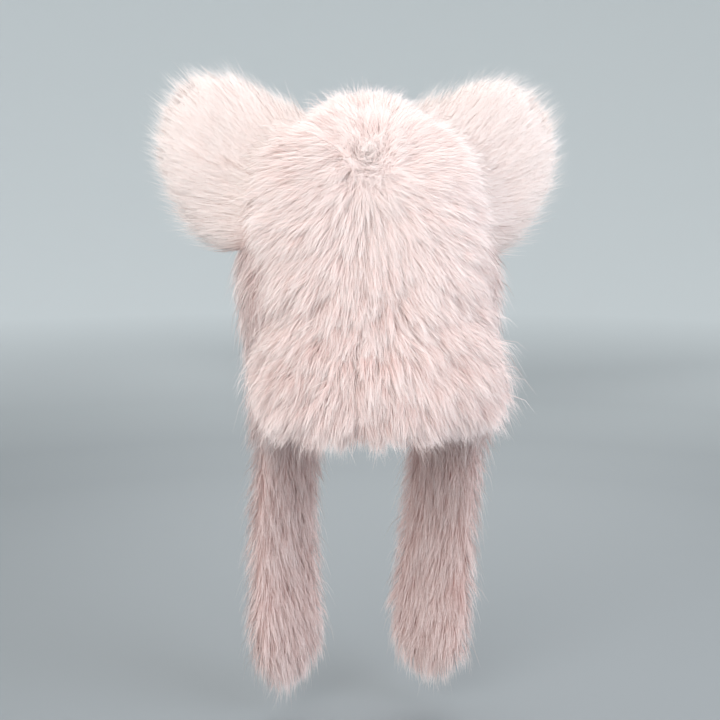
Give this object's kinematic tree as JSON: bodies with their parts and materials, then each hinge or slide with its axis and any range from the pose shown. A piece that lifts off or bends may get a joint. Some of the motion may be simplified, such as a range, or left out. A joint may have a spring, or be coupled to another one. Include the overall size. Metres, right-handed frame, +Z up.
{
  "type": "cat ear bonnet",
  "caption": "Long-pile faux fur bonnet with rounded cat ears, an open face, a deep back panel and long hanging side flaps.",
  "frame": {"origin": "inside top of the crown, where the wearer's head sits", "axes": "+Z up the head, -Y out through the face opening, +X towards the wearer's left"},
  "size_m": [0.4077, 0.3049, 0.6952],
  "materials": {
    "backing_knit": "matt knitted cloth",
    "crown_fur": "long soft faux fur",
    "ear_fur": "long soft faux fur",
    "flap_fur": "long soft faux fur"
  },
  "bodies": {
    "root": {"crown_backing": "backing_knit", "crown_fur": "crown_fur", "ear_left": "ear_fur", "ear_right": "ear_fur", "flap_left": "flap_fur", "flap_right": "flap_fur"}
  },
  "joints": []
}
